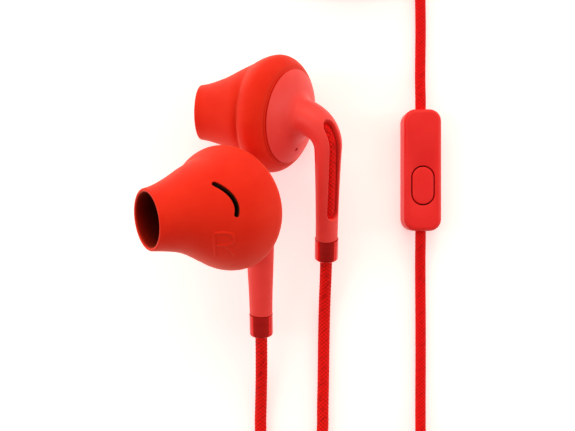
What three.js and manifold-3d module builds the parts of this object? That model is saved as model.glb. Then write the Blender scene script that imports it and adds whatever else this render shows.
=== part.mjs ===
// Wired earphones: two earbuds with soft silicone covers, braided cords, an inline remote,
// a splitter and a 3.5 mm plug, lying on a flat surface.
// Units are millimetres and +Z is up, away from the surface that everything lies on.
// The origin is on that surface, below the middle of the two earbuds.
import * as THREE from "three";
import { mergeVertices } from "three/addons/utils/BufferGeometryUtils.js";
import Module from "manifold-3d";

const wasm = await Module();
wasm.setup();

// ---------------------------------------------------------------- driving dimensions

const GAP = 0.1; // clearance between neighbouring pieces inside a housing
const FACE_GAP = 0.3; // between the end of a cord and what it meets

// Each earbud has its own frame: +Z out of the front of the driver, +Y up the stem,
// and the origin in the middle of the bulb's widest circle.
const BULB_RADIUS = 9.0;
const BULB_FRONT = { depth: 8.8, fullness: 1.55 }; // the front dome, if it had no nozzle
const BULB_REAR_DEPTH = 4.45;
const SEAM = { depth: 2.6, radius: 7.3 }; // where the cover's lip meets the rear housing
const NOZZLE = { tilt: THREE.MathUtils.degToRad(24.2), reach: 12.05, rim: 4.18, taper: 0.16, blend: 8 };
const FLARE = { amount: 0.4, towards: THREE.MathUtils.degToRad(150) }; // the nozzle's fuller side
const COVER = { bore: 6.95, boreDepth: 2.2, domeWall: 1.2, rimWall: 0.6 };
// The vent is a slanted slot: its ends are given by distance along the axis and angle round it.
const VENT = { from: [4.22, 0.15], to: [5.1, 0.82], width: 0.7, depth: 2.4, slope: 0.8 };

const HOUSING = { radius: 6.75, bore: 6.1, back: -1.1, front: 2.8, wall: 0.6, chamfer: 0.9 };
const SPOUT = { radius: 3.3, bore: 2.6, front: 4.4 };
const REAR_FLOOR = -3.3; // the inside of the rear housing

const STEM = { back: 9.05, bend: 4.1, foot: -18.72, spigot: 1.6, spigotRadius: 1.36 };
// Half the stem's width and half its depth, at distances along it from the start of its bend.
const STEM_SECTIONS = [
  [-1.3, 3.7, 3.6],
  [-0.6, 3.15, 3.05],
  [0.4, 2.8, 2.65],
  [2.0, 2.6, 2.4],
  [4.2, 2.4, 2.2],
  [6.4, 2.38, 1.98],
  [9.5, 2.34, 1.82],
  [14, 2.14, 1.72],
  [17.5, 1.96, 1.7],
];
const STEM_FOOT_SECTION = [1.86, 1.71];
const COLLAR = { length: 3.6, radius: 1.88, rounding: 0.6 };

const BRANCH_CORD = 1.9; // diameter of the cord to each earbud
const MAIN_CORD = 1.7; // diameter of the cord from the splitter to the plug
const CORD_SEAT = 0.5; // how far the cord lies behind the stem's centreline
// The opening along the back of the stem, turned round the stem towards the nozzle's side.
const SLOT = { from: 3.0, to: 17.4, width: 2.1, turn: THREE.MathUtils.degToRad(26) };

const REMOTE = { width: 6.05, length: 19.65, height: 4.2, corner: 1.9, edge: 0.5, wall: 0.7 };
const BUTTON = { width: 3.8, length: 6.4, offset: -2.5, groove: 0.2, flange: 0.25, travel: 0.25 };
const SPLITTER = { width: 5.6, length: 12, height: 4.2, corner: 2.4, edge: 0.6, wall: 1.0 };

// Where the pieces lie, seen from above. +Y runs along the cords, towards the plug.
const RIGHT_BUD = {
  centre: [-8.83, 0.98, 16.68],
  front: [-0.497, -0.189, 0.847],
  up: [-0.006, 0.977, 0.214],
};
const LEFT_BUD = {
  centre: [-1.62, 15.55, 8.72],
  front: [-0.848, 0.193, -0.493],
  up: [-0.005, 0.928, 0.374],
};
const REMOTE_PLACE = [21.75, 7.32];
const SPLITTER_PLACE = [21.75, -46.5];
const BRANCH_SPACING = 2.14; // between the two cords where they enter the splitter

// Each coil is wound in flat layers: inwards on the surface, outwards on top, and so on.
const COILS = {
  left: { centre: [4.5, -52.6], outer: 12.3, inner: 7.4, cord: BRANCH_CORD, layers: 2 },
  right: { centre: [-21.6, -52.6], outer: 11.3, inner: 6.4, cord: BRANCH_CORD, layers: 2 },
  main: { centre: [9.95, 51], outer: 11.8, inner: 5.5, cord: MAIN_CORD, layers: 4 },
};
const LAYER_RISE = 1.02; // between the layers of a coil, in cord diameters

// The stretches of cord that aren't coiled, by the points of their centrelines.
const ROUTES = {
  right_cord_upper: [
    [-4.2, -19.5, 4.16],
    [-4.2, -22.5, 3.45],
    [-4.25, -26, 2.4],
    [-4.35, -30, 1.4],
    [-4.45, -33.6, 1.05],
    [-4.5, -36.2, 1.0],
    [-5.2, -38.7, 1.0],
    [-7.1, -40.6, 1.0],
    [-9.6, -41.3, 1.0],
    [-12, -41.3, 1.0],
    [-14.2, -41.3, 1.0],
  ],
  right_cord_lower: [
    [-12.4, -63.9, 1.8],
    [-9.5, -64.8, 1.25],
    [-6, -66, 1.02],
    [-1.5, -66.9, 1.0],
    [4.5, -67.2, 1.0],
    [10, -66.1, 1.0],
    [14.6, -63.5, 1.0],
    [18, -60.3, 1.0],
    [20.7, -57.2, 1.05],
    [22.4, -55.3, 1.6],
    [22.8, -53.9, 2.0],
    [22.82, -52.8, 2.1],
  ],
  left_cord_upper: [
    [6.16, -7.25, 4.7],
    [6.15, -10, 3.6],
    [6.1, -13, 2.4],
    [6.05, -16.5, 1.4],
    [6.0, -20, 1.05],
    [5.9, -28, 1.0],
    [5.82, -32, 1.0],
    [5.8, -35, 1.0],
    [5.6, -36.8, 1.0],
    [5.0, -38.15, 1.0],
  ],
  left_cord_lower: [
    [18.7, -57.2, 2.85],
    [20, -55.4, 2.55],
    [20.6, -54, 2.2],
    [20.68, -52.8, 2.1],
  ],
  main_cord_lower: [
    [21.75, -40.2, 2.1],
    [21.78, -38, 2.0],
    [21.9, -34, 1.3],
    [21.97, -30, 0.95],
    [22.0, -25, 0.9],
    [22.0, -18, 0.9],
    [21.95, -11, 0.95],
    [21.85, -7, 1.4],
    [21.76, -4.2, 2.0],
    [21.75, -2.85, 2.1],
  ],
  main_cord_upper: [
    [21.75, 17.45, 2.1],
    [21.76, 19, 2.0],
    [21.85, 22.5, 1.3],
    [21.95, 26.5, 0.95],
    [22.0, 31, 0.9],
    [21.9, 38, 0.9],
    [21.75, 44, 0.9],
  ],
};

// The plug leans on the main coil, with its pin on the surface. Its slope is in degrees.
const PLUG = { start: [-1.61, 59.35, 4.9], heading: 200, slope: 6.7 };
const PLUG_GRIP = { radius: 3.0, length: 10, relief: 5 };
const PLUG_PIN = { radius: 1.75, length: 14, flange: 2.5 };

// ---------------------------------------------------------------- solids

function mergedPositions(geometry) {
  const bare = new THREE.BufferGeometry();
  bare.setAttribute("position", geometry.getAttribute("position"));
  bare.setIndex(geometry.getIndex());
  return mergeVertices(bare, 1e-4);
}

function toManifold(geometry) {
  const merged = mergedPositions(geometry);
  return new wasm.Manifold(
    new wasm.Mesh({
      numProp: 3,
      vertProperties: merged.attributes.position.array,
      triVerts: new Uint32Array(merged.index.array),
    }),
  );
}

function toGeometry(solid) {
  const mesh = solid.getMesh();
  const geometry = new THREE.BufferGeometry();
  geometry.setAttribute("position", new THREE.BufferAttribute(mesh.vertProperties, 3));
  geometry.setIndex(new THREE.BufferAttribute(mesh.triVerts, 1));
  return geometry;
}

// Turns every face of a closed geometry round if they face inwards.
function facingOut(geometry) {
  const merged = mergedPositions(geometry);
  if (toManifold(merged).volume() > 0) return merged;
  const corners = merged.index.array;
  for (let i = 0; i < corners.length; i += 3) {
    [corners[i + 1], corners[i + 2]] = [corners[i + 2], corners[i + 1]];
  }
  return merged;
}

function cut(geometry, ...tools) {
  const left = tools.reduce((solid, tool) => solid.subtract(toManifold(tool)), toManifold(geometry));
  return toGeometry(left);
}

function join(...geometries) {
  return toGeometry(geometries.map(toManifold).reduce((all, next) => all.add(next)));
}

// A closed solid of revolution about Z. The profile is a list of [radius, z] points.
function turned(profile, segments = 16) {
  const onAxis = profile[0][0] === 0 && profile.at(-1)[0] === 0;
  const closed = onAxis ? profile : [...profile, profile[0]];
  const points = closed.map(([radius, z]) => new THREE.Vector2(radius, z));
  return facingOut(new THREE.LatheGeometry(points, segments).rotateX(Math.PI / 2));
}

function disc(radius, low, high, segments = 16) {
  return turned([[0, low], [radius, low], [radius, high], [0, high]], segments);
}

function ring(inner, outer, low, high, segments = 16) {
  return turned([[inner, low], [outer, low], [outer, high], [inner, high]], segments);
}

// A closed solid through oval rings. Each ring has a centre, two directions, and a radius
// along each of them. The phase turns the corners round the ring.
function lofted(rings, segments = 16, phase = 0) {
  const positions = [];
  const corners = [];
  for (const { centre, across, other, radii } of rings) {
    for (let k = 0; k < segments; k++) {
      const angle = phase + (2 * Math.PI * k) / segments;
      const point = centre
        .clone()
        .addScaledVector(across, radii[0] * Math.cos(angle))
        .addScaledVector(other, radii[1] * Math.sin(angle));
      positions.push(...point);
    }
  }
  const next = (k) => (k + 1) % segments;
  for (let row = 0; row < (rings.length - 1) * segments; row += segments) {
    for (let k = 0; k < segments; k++) {
      const [a, b] = [row + k, row + next(k)];
      corners.push(a, b, b + segments, a, b + segments, a + segments);
    }
  }
  const end = (rings.length - 1) * segments;
  for (let k = 1; k + 1 < segments; k++) {
    corners.push(0, k + 1, k, end, end + k, end + k + 1);
  }
  const geometry = new THREE.BufferGeometry();
  geometry.setAttribute("position", new THREE.Float32BufferAttribute(positions, 3));
  geometry.setIndex(corners);
  return facingOut(geometry);
}

function roundedRectangle(width, length, corner) {
  const [x, y] = [width / 2 - corner, length / 2 - corner];
  const shape = new THREE.Shape();
  shape.absarc(x, -y, corner, -Math.PI / 2, 0);
  shape.absarc(x, y, corner, 0, Math.PI / 2);
  shape.absarc(-x, y, corner, Math.PI / 2, Math.PI);
  shape.absarc(-x, -y, corner, Math.PI, 1.5 * Math.PI);
  return shape;
}

// A rounded block between two heights. A bevel eases the edges at both ends.
function block(width, length, corner, low, high, bevel = 0) {
  const shape = roundedRectangle(width - 2 * bevel, length - 2 * bevel, corner - bevel);
  const geometry = new THREE.ExtrudeGeometry(shape, {
    depth: high - low - 2 * bevel,
    bevelEnabled: bevel > 0,
    bevelThickness: bevel,
    bevelSize: bevel,
    bevelSegments: 1,
    curveSegments: 4,
  });
  return facingOut(geometry.translate(0, 0, low + bevel));
}

function box(size, centre) {
  return new THREE.BoxGeometry(...size).translate(...centre);
}

// A rod along Y, used to bore the cords' holes.
function rod(radius, from, to, x, z) {
  const geometry = new THREE.CylinderGeometry(radius, radius, to - from, 12);
  return geometry.translate(x, (from + to) / 2, z);
}

// ---------------------------------------------------------------- materials

function material(color, roughness, metalness = 0) {
  return new THREE.MeshStandardMaterial({ color, roughness, metalness });
}

const SILICONE = material(0xe6332a, 0.6);
const SHELL_PLASTIC = material(0xee4640, 0.45);
const RED_METAL = material(0xb80f10, 0.2, 0.9);
const BRAID = material(0xd8160e, 0.85);
const REMOTE_PLASTIC = material(0xea2c28, 0.4);
const HOUSING_PLASTIC = material(0x2b2b2d, 0.6);
const STEEL = material(0xa8abb0, 0.35, 0.9);
const MAGNET = material(0x6f7278, 0.4, 0.8);
const COPPER = material(0xb8682d, 0.4, 0.9);
const FILM = material(0xc9cdd2, 0.3);
const BOARD = material(0x1f6b3a, 0.6);
const GOLD = material(0xd9b25a, 0.25, 1.0);
const BLACK = material(0x151515, 0.5);

function add(group, name, geometry, finish) {
  const faceted = geometry.index ? geometry.toNonIndexed() : geometry;
  faceted.computeVertexNormals();
  const mesh = new THREE.Mesh(faceted, finish);
  mesh.name = name;
  group.add(mesh);
}

// ---------------------------------------------------------------- the soft cover

const X = new THREE.Vector3(1, 0, 0);
const Y = new THREE.Vector3(0, 1, 0);

function smoothstep(t) {
  const u = THREE.MathUtils.clamp(t, 0, 1);
  return u * u * (3 - 2 * u);
}

// The cover's outer radius at a distance along its bent axis, from the seam to the rim.
// The dome runs into the nozzle's cone in one smooth curve.
function coverRadius(s) {
  if (s <= 0) return BULB_RADIUS * Math.sqrt(1 - (s / BULB_REAR_DEPTH) ** 2);
  const { depth, fullness } = BULB_FRONT;
  const dome = BULB_RADIUS * Math.max(1 - (s / depth) ** fullness, 0) ** (1 / fullness);
  const cone = (NOZZLE.rim + NOZZLE.taper * (NOZZLE.reach - s)) * smoothstep(s / 3);
  return (dome ** NOZZLE.blend + cone ** NOZZLE.blend) ** (1 / NOZZLE.blend);
}

// The cover's axis runs along Z through the bulb and bends over to the nozzle's tilt. Where
// the nozzle begins, its rings are wider on one side.
function coverRing(s, radius) {
  const bend = NOZZLE.tilt * smoothstep((s - 0.5) / 6);
  const centre = new THREE.Vector3(-Math.sin(bend), 0, Math.cos(bend)).multiplyScalar(s);
  const across = new THREE.Vector3(Math.cos(bend), 0, Math.sin(bend));
  const flare = FLARE.amount * smoothstep((s - 3) / 3.5) * (1 - smoothstep((s - 6.8) / 4.5));
  centre.addScaledVector(across, flare * Math.cos(FLARE.towards));
  centre.addScaledVector(Y, flare * Math.sin(FLARE.towards));
  return { centre, across, other: Y, radii: [radius + flare, radius + flare] };
}

function coverOutside() {
  const lip = coverRing(GAP - SEAM.depth, SEAM.radius);
  const stations = [-1.7, -0.8, 0.3, 1.8, 3.1, 4.2, 5.1, 5.9, 6.6, 7.6, 9.5, NOZZLE.reach];
  return lofted([lip, ...stations.map((s) => coverRing(s, coverRadius(s)))], 20);
}

function coverInside() {
  const inner = (s) => {
    const share = THREE.MathUtils.clamp((s - 4) / 4, 0, 1);
    const wall = THREE.MathUtils.lerp(COVER.domeWall, COVER.rimWall, share);
    return Math.min(COVER.bore, coverRadius(Math.min(s, NOZZLE.reach)) - wall);
  };
  const stations = [1, 3.2, 4.2, 5.2, 6.2, 7.5, NOZZLE.reach + 1];
  const straight = disc(COVER.bore, -SEAM.depth - 1, COVER.boreDepth, 20);
  return join(straight, lofted(stations.map((s) => coverRing(s, inner(s))), 20));
}

// Each ring of the vent's cutter is a short oval that points out through the cover's wall.
function ventCutter() {
  const rings = [];
  for (let i = 0; i <= 6; i++) {
    const [s, angle] = VENT.from.map((start, axis) => THREE.MathUtils.lerp(start, VENT.to[axis], i / 6));
    const { centre, across, radii } = coverRing(s, coverRadius(s));
    const forward = new THREE.Vector3().crossVectors(across, Y);
    const out = across.clone().multiplyScalar(Math.cos(angle)).addScaledVector(Y, Math.sin(angle));
    centre.addScaledVector(out, radii[0]);
    const normal = out.clone().addScaledVector(forward, VENT.slope).normalize();
    const flat = forward.clone().addScaledVector(out, -VENT.slope).normalize();
    rings.push({ centre, across: normal, other: flat, radii: [VENT.depth / 2, VENT.width / 2] });
  }
  return lofted(rings, 8);
}

// ---------------------------------------------------------------- the rear housing and stem

const BEND_LENGTH = (STEM.bend * Math.PI) / 2;
const FOOT_DISTANCE = BEND_LENGTH - STEM.foot - STEM.bend;

// A ring round the stem's line. It can be turned round that line, and the offset then moves
// it away from the ear, in the direction it was turned to.
function stemRing(distance, offset, radii, turn = 0) {
  const angle = THREE.MathUtils.clamp(distance / STEM.bend, 0, Math.PI / 2);
  const back = new THREE.Vector3(0, Math.cos(angle), -Math.sin(angle));
  const centre = new THREE.Vector3(0, -STEM.bend, STEM.bend - STEM.back);
  centre.addScaledVector(back, STEM.bend);
  centre.z -= Math.min(distance, 0);
  centre.y -= Math.max(distance - BEND_LENGTH, 0);
  const across = X.clone().multiplyScalar(Math.cos(turn)).addScaledVector(back, Math.sin(turn));
  const other = back.clone().multiplyScalar(Math.cos(turn)).addScaledVector(X, -Math.sin(turn));
  centre.addScaledVector(other, offset);
  return { centre, across, other, radii };
}

// The cord lies behind the stem's centreline and comes back to it above the collar.
function cordOffset(distance) {
  const behind = smoothstep((distance + 1) / 4) - smoothstep((distance - 15) / 4);
  return CORD_SEAT * behind;
}

function cordRings(distances, radius) {
  return distances.map((d) => stemRing(d, cordOffset(d), [radius, radius], SLOT.turn));
}

const CORD_STATIONS = [-0.6, 1, 2.2, 3.4, 4.6, BEND_LENGTH, 15, 16.3, 17.6, 19, FOOT_DISTANCE];

function stemOutside() {
  const body = STEM_SECTIONS.map(([d, ...radii]) => stemRing(d, 0, radii));
  body.push(stemRing(FOOT_DISTANCE, 0, STEM_FOOT_SECTION));
  const round = [STEM.spigotRadius, STEM.spigotRadius];
  const ends = [FOOT_DISTANCE - 1, FOOT_DISTANCE + STEM.spigot];
  const spigot = ends.map((d) => stemRing(d, 0, round));
  return join(lofted(body), lofted(spigot));
}

function stemChannel() {
  const radius = BRANCH_CORD / 2 + GAP;
  const past = FOOT_DISTANCE + STEM.spigot + 1;
  return lofted(cordRings([-2.4, ...CORD_STATIONS, past], radius), 8);
}

// The slot's ends are round, and its cutter is four-sided with its corners on a diagonal.
function stemSlot() {
  const half = SLOT.width / 2;
  const inset = [0.06, 0.3, 1].map((share) => share * half);
  const bend = [4.6, BEND_LENGTH];
  const along = [...inset.map((t) => SLOT.from + t), ...bend, ...inset.map((t) => SLOT.to - t).reverse()];
  const rings = along.map((d) => {
    const toEnd = Math.min(d - SLOT.from, SLOT.to - d, half);
    const width = Math.sqrt(half ** 2 - (half - toEnd) ** 2);
    return stemRing(d, CORD_SEAT + 1.5, [width * Math.SQRT2, 1.5 * Math.SQRT2], SLOT.turn);
  });
  return lofted(rings, 4, Math.PI / 4);
}

function rearShell() {
  const dome = [];
  for (let i = 0; i <= 5; i++) {
    const angle = THREE.MathUtils.lerp(Math.PI / 2, Math.asin((SEAM.depth + GAP) / BULB_REAR_DEPTH), i / 5);
    dome.push([BULB_RADIUS * Math.cos(angle), -BULB_REAR_DEPTH * Math.sin(angle)]);
  }
  dome[0][0] = 0;
  const rim = HOUSING.back - GAP;
  const inside = [
    [HOUSING.radius, -SEAM.depth - GAP],
    [HOUSING.radius, rim],
    [HOUSING.bore, rim],
    [HOUSING.bore, -2.7],
    [4.6, REAR_FLOOR],
    [0, REAR_FLOOR],
  ];
  return cut(join(turned([...dome, ...inside], 20), stemOutside()), stemChannel(), stemSlot());
}

function collar() {
  const { length, radius, rounding } = COLLAR;
  const bore = BRANCH_CORD / 2 + GAP;
  const socket = STEM.spigotRadius + GAP;
  const profile = [
    [socket, GAP],
    [radius, GAP],
    [radius, length - rounding],
    [radius - 0.15, length - 0.3],
    [radius - rounding, length],
    [bore, length],
    [bore, STEM.spigot + GAP],
    [socket, STEM.spigot + GAP],
  ];
  return turned(profile, 20).rotateX(Math.PI / 2).translate(0, STEM.foot, -STEM.back);
}

// ---------------------------------------------------------------- the earbuds

function frontShell() {
  const { radius, bore, back, front, wall, chamfer } = HOUSING;
  return turned(
    [
      [bore, back],
      [radius, back],
      [radius, front - chamfer],
      [radius - chamfer, front],
      [SPOUT.radius, front],
      [SPOUT.radius, SPOUT.front],
      [SPOUT.bore, SPOUT.front],
      [SPOUT.bore, front - wall],
      [bore - chamfer, front - wall],
      [bore, front - wall - chamfer],
    ],
    20,
  );
}

// The moving-coil driver, from the back: a steel cup, a magnet with its plate, and a coil
// in the gap round them that hangs from the diaphragm.
const DRIVER = [
  ["magnet_cup", turned([[0, -2.1], [4.2, -2.1], [4.2, 0.2], [3.7, 0.2], [3.7, -1.6], [0, -1.6]]), STEEL],
  ["magnet", disc(2.9, -1.5, -0.4), MAGNET],
  ["top_plate", disc(3.0, -0.3, 0.2), STEEL],
  ["voice_coil", ring(3.15, 3.5, -0.9, 0.75), COPPER],
  ["diaphragm", turned([[0, 1.35], [3.0, 1.0], [5.3, 1.0], [5.3, 0.86], [3.0, 0.86], [0, 1.2]]), FILM],
  [
    "driver_frame",
    turned([[4.3, -1.0], [5.95, -1.0], [5.95, 1.25], [5.5, 1.25], [5.5, -0.5], [4.3, -0.5]]),
    HOUSING_PLASTIC,
  ],
  ["driver_board", box([5, 2.6, 0.5], [0, 0, -2.6]), BOARD],
];

function earbud(side, place) {
  const bud = new THREE.Group();
  const part = (name, geometry, finish) => add(bud, `${side}_${name}`, geometry, finish);
  part("silicone_cover", cut(coverOutside(), coverInside(), ventCutter()), SILICONE);
  part("front_shell", frontShell(), HOUSING_PLASTIC);
  part("front_grille", disc(SPOUT.bore - GAP, SPOUT.front - 0.6, SPOUT.front - 0.3), STEEL);
  part("rear_shell", rearShell(), SHELL_PLASTIC);
  part("collar", collar(), RED_METAL);
  const cordEnd = FOOT_DISTANCE + COLLAR.length;
  part("stem_cord", lofted(cordRings([...CORD_STATIONS, cordEnd], BRANCH_CORD / 2), 8), BRAID);
  DRIVER.forEach(([name, geometry, finish]) => part(name, geometry, finish));

  const front = new THREE.Vector3(...place.front).normalize();
  const across = new THREE.Vector3().crossVectors(new THREE.Vector3(...place.up), front).normalize();
  const up = new THREE.Vector3().crossVectors(front, across);
  bud.quaternion.setFromRotationMatrix(new THREE.Matrix4().makeBasis(across, up, front));
  bud.position.set(...place.centre);
  bud.scale.x = side === "left" ? -1 : 1; // the left earbud is the right one's mirror image
  return bud;
}

// ---------------------------------------------------------------- the remote and splitter

// Two shells that meet halfway up a rounded box, with the same hollow in both.
function shells(size, holes) {
  const { width, length, height, corner, edge, wall } = size;
  const whole = block(width, length, corner, 0, height, edge);
  const hollow = block(width - 2 * wall, length - 2 * wall, corner - wall, wall, height - wall);
  const keep = [width + 2, length + 2, height];
  const upper = box(keep, [0, 0, height - GAP / 2]);
  const lower = box(keep, [0, 0, GAP / 2]);
  return [cut(whole, upper, hollow, ...holes), cut(whole, lower, hollow, ...holes)];
}

function remote() {
  const group = new THREE.Group();
  const { length, height, wall } = REMOTE;
  const { width, length: buttonLength, offset, groove, flange, travel } = BUTTON;
  const cordHole = rod(MAIN_CORD / 2 + GAP, -length, length, 0, height / 2);
  const micHole = new THREE.CylinderGeometry(0.4, 0.4, 1.6, 8).rotateX(Math.PI / 2).translate(0, 6, 0.8);
  const [rear, front] = shells(REMOTE, [cordHole]);
  const opening = block(width, buttonLength, width / 2, height / 2, height + 1).translate(0, offset, 0);
  add(group, "remote_rear_shell", cut(rear, micHole), REMOTE_PLASTIC);
  add(group, "remote_front_shell", cut(front, opening), REMOTE_PLASTIC);

  const underside = height - wall - 0.5;
  const neck = width - 2 * groove;
  const cap = block(neck, buttonLength - 2 * groove, neck / 2, underside - 0.2, height);
  const plate = width + 2 * flange - 0.1;
  const foot = block(plate, buttonLength + 2 * flange, plate / 2, underside - 0.5, underside);
  add(group, "remote_button", join(cap, foot).translate(0, offset, 0), REMOTE_PLASTIC);

  const boardTop = 1.3;
  const switchTop = underside - 0.5 - travel - GAP;
  const board = cut(box([4.2, 15.6, 0.4], [0, 0, boardTop - 0.2]), micHole);
  add(group, "remote_circuit_board", board, BOARD);
  const switchHeight = switchTop - boardTop - GAP;
  const switchMiddle = boardTop + GAP + switchHeight / 2;
  add(group, "remote_switch", box([2.8, 2.8, switchHeight], [0, offset, switchMiddle]), BLACK);
  add(group, "remote_microphone", disc(1.2, boardTop + GAP, boardTop + 1.0).translate(0, 6, 0), STEEL);
  group.position.set(...REMOTE_PLACE, 0);
  return group;
}

function splitter() {
  const group = new THREE.Group();
  const { length, height } = SPLITTER;
  const reach = length / 2 + 1;
  const main = rod(MAIN_CORD / 2 + GAP, 0, reach, 0, height / 2);
  const branches = [-1, 1].map((side) => {
    return rod(BRANCH_CORD / 2 + 0.05, -reach, 0, (side * BRANCH_SPACING) / 2, height / 2);
  });
  const [lower, upper] = shells(SPLITTER, [main, ...branches]);
  add(group, "splitter_lower_shell", lower, REMOTE_PLASTIC);
  add(group, "splitter_upper_shell", upper, REMOTE_PLASTIC);
  group.position.set(...SPLITTER_PLACE, 0);
  return group;
}

// ---------------------------------------------------------------- the plug

// Four contacts with three insulators between them, each [name, start, end, finish].
const CONTACTS = [
  ["plug_sleeve", 0.9, 5.0, GOLD],
  ["plug_insulator_1", 5.05, 5.65, BLACK],
  ["plug_ring_1", 5.7, 8.0, GOLD],
  ["plug_insulator_2", 8.05, 8.65, BLACK],
  ["plug_ring_2", 8.7, 11.0, GOLD],
  ["plug_insulator_3", 11.05, 11.65, BLACK],
];

function plug() {
  const group = new THREE.Group();
  const bore = MAIN_CORD / 2 + GAP;
  const { radius, length, relief } = PLUG_GRIP;
  const strainRelief = [[bore, 0], [1.35, 0], [1.9, relief - GAP], [bore, relief - GAP]];
  add(group, "plug_strain_relief", turned(strainRelief), SHELL_PLASTIC);
  const grip = [
    [bore, relief],
    [radius - 0.7, relief],
    [radius, relief + 0.7],
    [radius, relief + length - 0.5],
    [radius - 0.5, relief + length],
    [bore, relief + length],
  ];
  add(group, "plug_grip", turned(grip, 20), RED_METAL);

  const shoulder = relief + length + GAP;
  const pin = PLUG_PIN.radius;
  for (const [name, from, to, finish] of CONTACTS) {
    const contact = disc(pin, shoulder + from, shoulder + to);
    const flange = disc(PLUG_PIN.flange, shoulder, shoulder + 1);
    add(group, name, name === "plug_sleeve" ? join(contact, flange) : contact, finish);
  }
  const tip = [[0, 11.7], [pin, 11.7], [1.1, 12.3], [1.55, 12.9], [1.5, 13.3], [0.5, PLUG_PIN.length]];
  const profile = [...tip, [0, PLUG_PIN.length]].map(([r, z]) => [r, shoulder + z]);
  add(group, "plug_tip", turned(profile), GOLD);

  const { degToRad } = THREE.MathUtils;
  group.rotation.set(0, degToRad(90 + PLUG.slope), degToRad(PLUG.heading), "ZYX");
  group.position.set(...PLUG.start);
  return group;
}

// ---------------------------------------------------------------- the cords

function cordTube(points, diameter) {
  const curve = new THREE.CatmullRomCurve3(points.map((point) => new THREE.Vector3(...point)));
  const section = new THREE.Shape();
  section.absarc(0, 0, diameter / 2, 0, 2 * Math.PI);
  const steps = Math.max(2, Math.round(curve.getLength() / (2.5 * diameter)));
  return facingOut(
    new THREE.ExtrudeGeometry(section, { steps, extrudePath: curve, curveSegments: 8 }),
  );
}

function coilRing({ centre, outer, inner, cord, layers }) {
  const height = cord * (1 + LAYER_RISE * (layers - 1));
  return ring(inner - cord / 2, outer + cord / 2, 0, height, 28).translate(...centre, 0);
}

function cords() {
  const group = new THREE.Group();
  for (const [name, points] of Object.entries(ROUTES)) {
    const diameter = name.startsWith("main") ? MAIN_CORD : BRANCH_CORD;
    add(group, name, cordTube(points, diameter), BRAID);
  }
  for (const [name, coil] of Object.entries(COILS)) {
    add(group, `${name}_cord_coil`, coilRing(coil), BRAID);
  }
  return group;
}

// ---------------------------------------------------------------- the whole object

const earbuds = new THREE.Group();
earbuds.add(earbud("right", RIGHT_BUD), earbud("left", LEFT_BUD));
const reach = new THREE.Box3().setFromObject(earbuds, true);
const middle = reach.getCenter(new THREE.Vector3());
earbuds.position.z = -reach.min.z; // the lower earbud rests on the surface

const object = new THREE.Group();
object.add(earbuds, remote(), splitter(), plug(), cords());
object.position.set(-middle.x, -middle.y, 0);

export default object;
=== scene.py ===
"""Wired earphones lying on a pale floor, seen from straight above.

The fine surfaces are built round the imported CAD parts. Shapes are worked out in
millimetres, each in its own frame, and turned into metres when a mesh is made.
"""
import math

import bmesh
import bpy
import numpy as np
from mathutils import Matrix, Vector
from mathutils.bvhtree import BVHTree


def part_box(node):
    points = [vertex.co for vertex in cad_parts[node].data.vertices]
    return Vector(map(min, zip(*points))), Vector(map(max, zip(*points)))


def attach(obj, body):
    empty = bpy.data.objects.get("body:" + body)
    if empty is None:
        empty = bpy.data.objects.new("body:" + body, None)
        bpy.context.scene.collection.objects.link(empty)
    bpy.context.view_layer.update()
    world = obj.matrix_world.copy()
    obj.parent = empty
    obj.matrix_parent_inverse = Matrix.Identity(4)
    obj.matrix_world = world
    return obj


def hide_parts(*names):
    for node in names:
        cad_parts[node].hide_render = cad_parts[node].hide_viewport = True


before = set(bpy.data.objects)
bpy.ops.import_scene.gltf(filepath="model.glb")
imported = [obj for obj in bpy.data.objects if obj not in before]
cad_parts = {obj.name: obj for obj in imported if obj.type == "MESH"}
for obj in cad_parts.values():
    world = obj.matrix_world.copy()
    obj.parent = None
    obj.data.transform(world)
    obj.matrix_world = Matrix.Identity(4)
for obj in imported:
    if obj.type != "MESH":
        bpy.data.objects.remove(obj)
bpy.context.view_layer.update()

MM = 0.001
TAU = 2 * math.pi
AXIS = 1e-5  # the radius that stands for a point on an axis

# ---- sizes, in millimetres

# The earbud's own frame has +Z out of its front, +Y up its stem and +X away from its nozzle.
BULB_RADIUS = 9.0
BULB_FRONT = {"depth": 8.8, "fullness": 1.55}  # the front dome, if it had no nozzle
BULB_REAR_DEPTH = 4.45
COVER_BACK = -2.54  # where the cover's edge is, along its axis
LIP = {"radius": 7.34, "round": 0.16}  # the cover's edge, where it meets the rear housing
NOZZLE = {"tilt": math.radians(24.2), "reach": 12.05, "rim": 4.18, "taper": 0.16, "blend": 8}
NECK_EASING = 1.5  # how far the neck's curve is averaged each way
FLARE = {"amount": 0.4, "towards": math.radians(150)}  # the nozzle's fuller side
COVER_BORE = 6.95
DOME_WALL = 1.2
RIM_WALL = 0.5
RIM_START = NOZZLE["reach"] - 0.3  # the nozzle's rim is rounded from here on
# The vent's ends are given by distance along the cover's axis and angle round it.
VENT = {"from": (4.07, 0.06), "to": (5.05, 0.78), "bow": 0.5,
        "width": 0.62, "depth": 1.8, "round": 0.1}
# The mark's strokes are in heights of the letter, and its middle goes to its place on the cover.
SIDE_MARK = {"place": (4.6, -0.53), "height": 3.8, "stroke": 0.5, "relief": 0.1, "middle": (0.33, 0.5)}
MARK_STROKES = {
    "right": (
        [(0, 0), (0, 1)],
        [(0, 1), (0.42, 1), (0.6, 0.93), (0.66, 0.76), (0.6, 0.59), (0.42, 0.52), (0, 0.52)],
        [(0.38, 0.52), (0.7, 0)],
    ),
    "left": ([(0.1, 1), (0.1, 0)], [(0.1, 0), (0.66, 0)]),
}
MAGNET_DEPTH = 0.95  # the magnet's middle is this far behind the bulb's
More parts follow.
